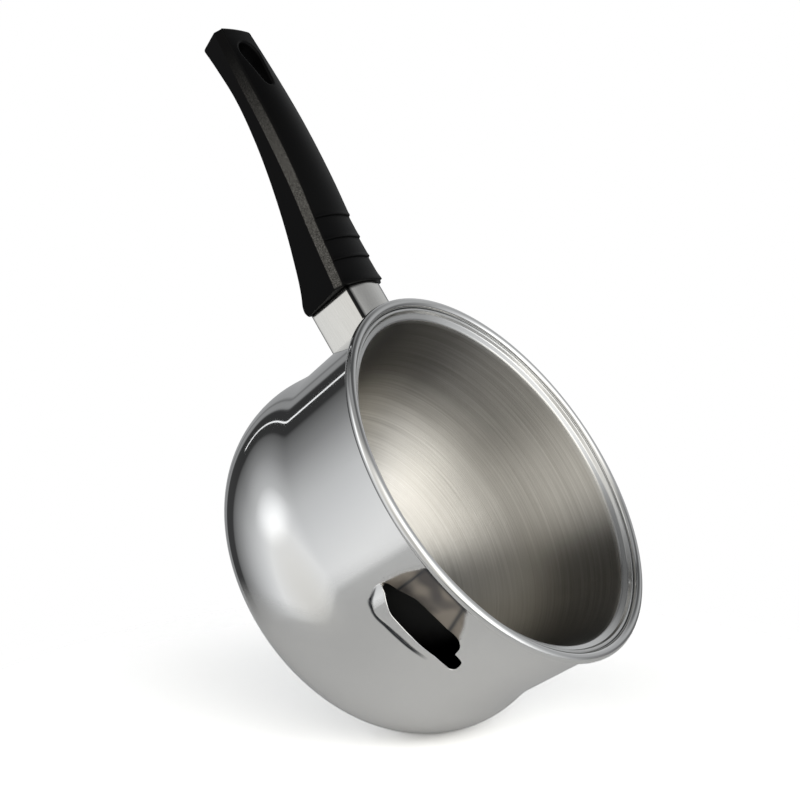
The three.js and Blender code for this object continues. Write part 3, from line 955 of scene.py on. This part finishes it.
def steel_polished():
    nodes = Nodes("polished_steel")
    place = nodes.position()
    haze = nodes.noise(place, 35.0, 3.0)
    polish = nodes.noise(around_axis(nodes, 900.0, 6.0), 1.0, 2.0)
    roughness = nodes.math("ADD", nodes.spread(haze, 0.02, 0.07), nodes.spread(polish, -0.01, 0.02))
    ripple = nodes.noise(place, 9.0, 1.0)
    # painted reflection: the pressed panel's dark blotched brown tone stands for the dark slot and shaded
    # floor it reflects; its lower metal and higher roughness are a duller finish
    painted_reflection_noise = nodes.noise(place, 85.0, 1.0)
    polished = nodes.blend(haze, (0.74, 0.74, 0.74, 1), (0.80, 0.80, 0.79, 1))
    painted_reflection = nodes.blend(nodes.step(painted_reflection_noise, 0.3, 0.6), (0.11, 0.10, 0.095, 1), (0.29, 0.255, 0.215, 1))
    pressed = nodes.mark("pressed")
    colour = nodes.blend(pressed, polished, painted_reflection)
    # painted shade: near black along the panel's creases and in the crease under the lip
    colour = nodes.blend(nodes.mark("crease"), colour, (0.035, 0.038, 0.045, 1))
    # painted shade: the jacket's hidden skin is turned near black
    colour = nodes.blend(nodes.mark("jacket"), colour, JACKET_PAINTED_SHADE)
    roughness = nodes.between(pressed, roughness, 0.25)
    return nodes.set(
        Base_Color=colour,
        Metallic=nodes.between(pressed, 1.0, 0.4),
        Roughness=nodes.between(nodes.mark("jacket"), roughness, 0.5),
        Normal=nodes.bump(ripple, 0.04, 0.002),
    )


def steel_brushed():
    nodes = Nodes("brushed_steel")
    lines = nodes.noise(around_axis(nodes, 2600.0, 1.2), 1.0, 3.0, 0.6)
    bands = nodes.noise(around_axis(nodes, 700.0, 0.8), 1.0, 2.0)
    wear = nodes.noise(nodes.position(), 30.0, 3.0)
    tone = nodes.math("MULTIPLY", lines, bands)
    tangent = nodes.add("ShaderNodeTangent", direction_type="RADIAL", axis="Z")
    flange = nodes.mark("flange")
    jacket = nodes.mark("jacket")
    tone = nodes.spread(tone, 0.0, 2.0)
    brushed = nodes.blend(tone, (0.66, 0.635, 0.585, 1), (1.0, 0.975, 0.92, 1))
    # painted sheen and shade: the sheen mark darkens the brushed colour towards black by bearing and height
    brushed = nodes.blend(nodes.mark("painted_sheen"), (0.0, 0.0, 0.0, 1), brushed)
    colour = nodes.blend(flange, brushed, (0.78, 0.78, 0.77, 1))
    roughness = nodes.math("ADD", nodes.spread(bands, 0.27, 0.37), nodes.spread(wear, -0.03, 0.03))
    roughness = nodes.between(flange, roughness, 0.16)
    # painted shade: the bowl's hidden underside is turned near black
    return nodes.set(
        Base_Color=nodes.blend(jacket, colour, JACKET_PAINTED_SHADE),
        Metallic=1.0,
        Roughness=nodes.between(jacket, roughness, 0.5),
        Anisotropic=1.0,
        Anisotropic_Rotation=0.25,
        Tangent=tangent.outputs[0],
        Normal=nodes.bump(lines, nodes.between(flange, 0.25, 0.03), 0.0004),
    )


def steel_ferrule():
    nodes = Nodes("ferrule_steel")
    stretch = {"Vector": nodes.position(), "Scale": (60.0, 1500.0, 1500.0)}
    stretched = nodes.add("ShaderNodeMapping", stretch)
    lines = nodes.noise(stretched.outputs[0], 1.0, 4.0, 0.6)
    haze = nodes.noise(nodes.position(), 60.0, 2.0)
    satin = nodes.blend(lines, (0.64, 0.63, 0.60, 1), (0.82, 0.81, 0.78, 1))
    # near black along the ferrule's two upper corners
    return nodes.set(
        Base_Color=nodes.blend(nodes.mark("dark_upper_corners"), satin, (0.02, 0.02, 0.02, 1)),
        Metallic=1.0,
        Roughness=nodes.math("ADD", nodes.spread(lines, 0.16, 0.26), nodes.spread(haze, -0.03, 0.03)),
        Normal=nodes.bump(lines, 0.12, 0.0002),
    )


def steel_plain(name, tint, roughness):
    nodes = Nodes(name)
    grain = nodes.noise(nodes.position(), 900.0, 4.0)
    return nodes.set(
        Base_Color=nodes.blend(grain, tuple(0.8 * c for c in tint) + (1,), tint + (1,)),
        Metallic=1.0,
        Roughness=nodes.spread(grain, roughness - 0.08, roughness + 0.08),
        Normal=nodes.bump(grain, 0.1, 0.0002),
    )


def bakelite():
    nodes = Nodes("black_bakelite")
    grain = nodes.noise(nodes.position(), 2600.0, 2.0, 0.6)
    cloud = nodes.noise(nodes.position(), 45.0, 3.0)
    stripe = nodes.mark("stripe")
    smooth = nodes.blend(cloud, (0.001, 0.001, 0.0012, 1), (0.002, 0.002, 0.002, 1))
    speckle = nodes.step(grain, 0.35, 0.75)
    grained = nodes.blend(speckle, (0.022, 0.021, 0.019, 1), (0.17, 0.165, 0.155, 1))
    rough = nodes.math("ADD", nodes.spread(cloud, 0.34, 0.42), nodes.spread(grain, -0.04, 0.04))
    return nodes.set(
        Base_Color=nodes.blend(stripe, smooth, grained),
        Roughness=nodes.between(stripe, rough, 0.6),
        Specular_IOR_Level=0.07,
        Normal=nodes.bump(grain, nodes.between(stripe, 0.12, 0.5), 0.0002),
    )


# ---------- camera, floor and light

CAMERA_AZIMUTH = math.radians(11.0)
CAMERA_ELEVATION = math.radians(31.33)
CAMERA_ROLL = math.radians(51.9)
CAMERA_DISTANCE = 0.517
AIM = Vector((-0.0489, -0.0158, RIM_HEIGHT * MM - 0.0156))
CAMERA_LENS = 54  # mm
FLOOR_TILT = math.radians(4)
FLOOR_RADIUS = 0.3
FLOOR_FADE = (0.12, 0.28)  # distances from its middle between which the floor fades out
VECTOR_MATH = "ShaderNodeVectorMath"


def place_camera():
    """Looks at the pot as a tilted thing: the camera's up leans towards the handle."""
    level = math.cos(CAMERA_ELEVATION)
    sideways, forwards = level * math.sin(CAMERA_AZIMUTH), -level * math.cos(CAMERA_AZIMUTH)
    back = Vector((sideways, forwards, math.sin(CAMERA_ELEVATION)))
    turn = (-back).to_track_quat("-Z", "Y").to_matrix().to_4x4() @ Matrix.Rotation(CAMERA_ROLL, 4, "Z")
    data = bpy.data.cameras.new("camera")
    data.lens = CAMERA_LENS
    camera = bpy.data.objects.new("camera", data)
    camera.matrix_world = Matrix.Translation(AIM + back * CAMERA_DISTANCE) @ turn
    scene.collection.objects.link(camera)
    scene.camera = camera
    return camera


def floor_material():
    """White, fading out towards the edge and not seen from behind."""
    nodes = Nodes("floor_white")
    paper = nodes.noise(nodes.position(), 300.0, 2.0)
    fade = nodes.step(nodes.math("LENGTH", nodes.position(), kind=VECTOR_MATH), *FLOOR_FADE)
    behind = nodes.add("ShaderNodeNewGeometry").outputs["Backfacing"]
    clear = nodes.add("ShaderNodeBsdfTransparent").outputs[0]
    mixed = nodes.mix_shaders(nodes.math("MAXIMUM", fade, behind), nodes.shader.outputs[0], clear)
    nodes.join(mixed, nodes.tree.nodes["Material Output"].inputs["Surface"])
    white = nodes.blend(paper, (0.9, 0.9, 0.9, 1), (0.92, 0.92, 0.92, 1))
    seen = nodes.add("ShaderNodeLightPath").outputs["Is Camera Ray"]
    return nodes.set(Base_Color=nodes.blend(seen, white, (2.4, 2.4, 2.4, 1)), Roughness=0.9)


def lay_floor(camera, pot):
    """A white disc square to the camera's view and tilted, that touches the pot's belly."""
    axes = camera.matrix_world.to_3x3()
    normal = math.cos(FLOOR_TILT) * axes.col[1] + math.sin(FLOOR_TILT) * axes.col[2]
    normal.normalize()
    contact = min(pot.data.vertices, key=lambda point: (point.co.dot(normal), point.index)).co
    mesh = bpy.data.meshes.new("floor")
    ring = polar(FLOOR_RADIUS, np.linspace(0, 2 * math.pi, 65)[:-1])
    mesh.from_pydata([(x, y, 0) for x, y in ring.tolist()], [], [tuple(range(len(ring)))])
    mesh.materials.append(floor_material())
    floor = bpy.data.objects.new("floor", mesh)
    turn = normal.to_track_quat("Z", "Y").to_matrix().to_4x4()
    floor.matrix_world = Matrix.Translation(contact - 0.0002 * normal) @ turn
    scene.collection.objects.link(floor)


# Brightness of the studio round the pot, by bearing from the camera's side in degrees:
# low down on the table, level with the pot, above it, and towards the ceiling.
STUDIO = [
    (-180, 0.36, 0.42, 0.42, 0.30), (-157, 0.30, 0.34, 0.34, 0.15),
    (-155, 0.30, 0.16, 0.16, 0.15), (-153, 0.30, 0.30, 0.30, 0.10),
    (-148, 0.28, 0.30, 0.30, 0.05), (-146, 0.28, 0.05, 0.04, 0.03),
    (-128, 0.30, 0.05, 0.04, 0.03), (-125, 0.30, 0.16, 0.12, 0.08),
    (-110, 0.42, 0.34, 0.28, 0.15), (-90, 0.52, 0.65, 0.60, 0.20),
    (-70, 0.58, 0.95, 1.60, 0.30), (-50, 0.62, 0.85, 0.85, 0.35),
    (-25, 0.55, 0.60, 0.80, 0.35), (0, 0.12, 0.60, 1.15, 0.36),
    (28, 0.12, 1.70, 1.90, 0.36), (58, 0.12, 1.80, 1.30, 0.20),
    (80, 0.12, 0.85, 0.70, 0.12), (105, 0.12, 0.30, 0.45, 0.10),
    (125, 0.22, 0.16, 0.45, 0.10), (150, 0.30, 0.16, 0.60, 0.12),
    (180, 0.36, 0.42, 0.42, 0.30),
]
FLOOR_LEVEL = 0.42
SLIT_BEARING = -136.9  # a narrow bright upright slit between two dark walls
SLIT_LEVEL = 1.2


class WorldNodes(Nodes):
    def __init__(self):
        world = bpy.data.worlds.new("studio")
        world.use_nodes = True
        scene.world = world
        self.tree = world.node_tree
        self.tree.nodes.clear()

    def ramp(self, value, stops):
        """Gray by angle in degrees, straight between the stops."""
        node = self.add("ShaderNodeFloatCurve")
        curve = node.mapping.curves[0]
        node.mapping.use_clip = False
        while len(curve.points) < len(stops):
            curve.points.new(0.5, 0.5)
        for point, (angle, level) in zip(curve.points, stops):
            point.location = (0.5 + angle / 360, level / 2)
            point.handle_type = "VECTOR"
        node.mapping.update()
        self.join(self.math("ADD", self.math("DIVIDE", value, 360.0), 0.5), node.inputs["Value"])
        return self.math("MULTIPLY", node.outputs[0], 2.0)


def light_world(axes):
    """Soft studio walls, table and ceiling seen in reflections; plain white behind the pot."""
    nodes = WorldNodes()
    direction = nodes.add("ShaderNodeTexCoord").outputs["Generated"]
    right, up, back = (
        nodes.math("DOT_PRODUCT", direction, tuple(axis), kind=VECTOR_MATH) for axis in axes.col
    )
    degrees = 180 / math.pi
    bearing = nodes.math("MULTIPLY", nodes.math("ARCTAN2", right, back), degrees)
    height = nodes.math("MULTIPLY", nodes.math("ARCSINE", up), degrees)
    ramps = [nodes.ramp(bearing, [(row[0], row[i]) for row in STUDIO]) for i in range(1, 5)]
    low, level, high, top = ramps
    bands = ((low, -31.0, -35.0), (FLOOR_LEVEL, -45.0, -70.0), (high, 2.0, 18.0), (top, 30.0, 60.0))
    for band, start, end in bands:
        level = nodes.between(nodes.step(height, start, end), level, band)
    off_slit = nodes.math("ABSOLUTE", nodes.math("SUBTRACT", bearing, SLIT_BEARING))
    slit = nodes.math("MULTIPLY", nodes.step(off_slit, 0.9, 0.5), nodes.step(height, 17.0, 18.5))
    level = nodes.math("ADD", level, nodes.math("MULTIPLY", slit, SLIT_LEVEL))
    tint = nodes.blend(nodes.step(back, 0.1, 0.9), (0.97, 0.985, 1.0, 1), (1.0, 0.985, 0.94, 1))

    white = nodes.add("ShaderNodeBackground", {"Color": (1, 1, 1, 1)}).outputs[0]
    studio = nodes.add("ShaderNodeBackground", {"Color": tint, "Strength": level}).outputs[0]
    seen = nodes.add("ShaderNodeLightPath").outputs["Is Camera Ray"]
    nodes.add("ShaderNodeOutputWorld", {"Surface": nodes.mix_shaders(seen, studio, white)})


shell = build_shell()
build_bowl()
build_ferrule()
build_grip()
inner_steel = steel_plain("plain_steel", (0.66, 0.66, 0.65), 0.35)
bolt_finish = steel_plain("bolt_steel", (0.72, 0.71, 0.68), 0.28)
finishes = {"handle_bracket": inner_steel, "handle_bolt": bolt_finish, "bolt_washer": bolt_finish}
for node, finish in finishes.items():
    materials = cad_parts[node].data.materials
    materials.clear()
    materials.append(finish)

camera = place_camera()
lay_floor(camera, shell)
light_world(camera.matrix_world.to_3x3())
scene.view_settings.view_transform = "Standard"
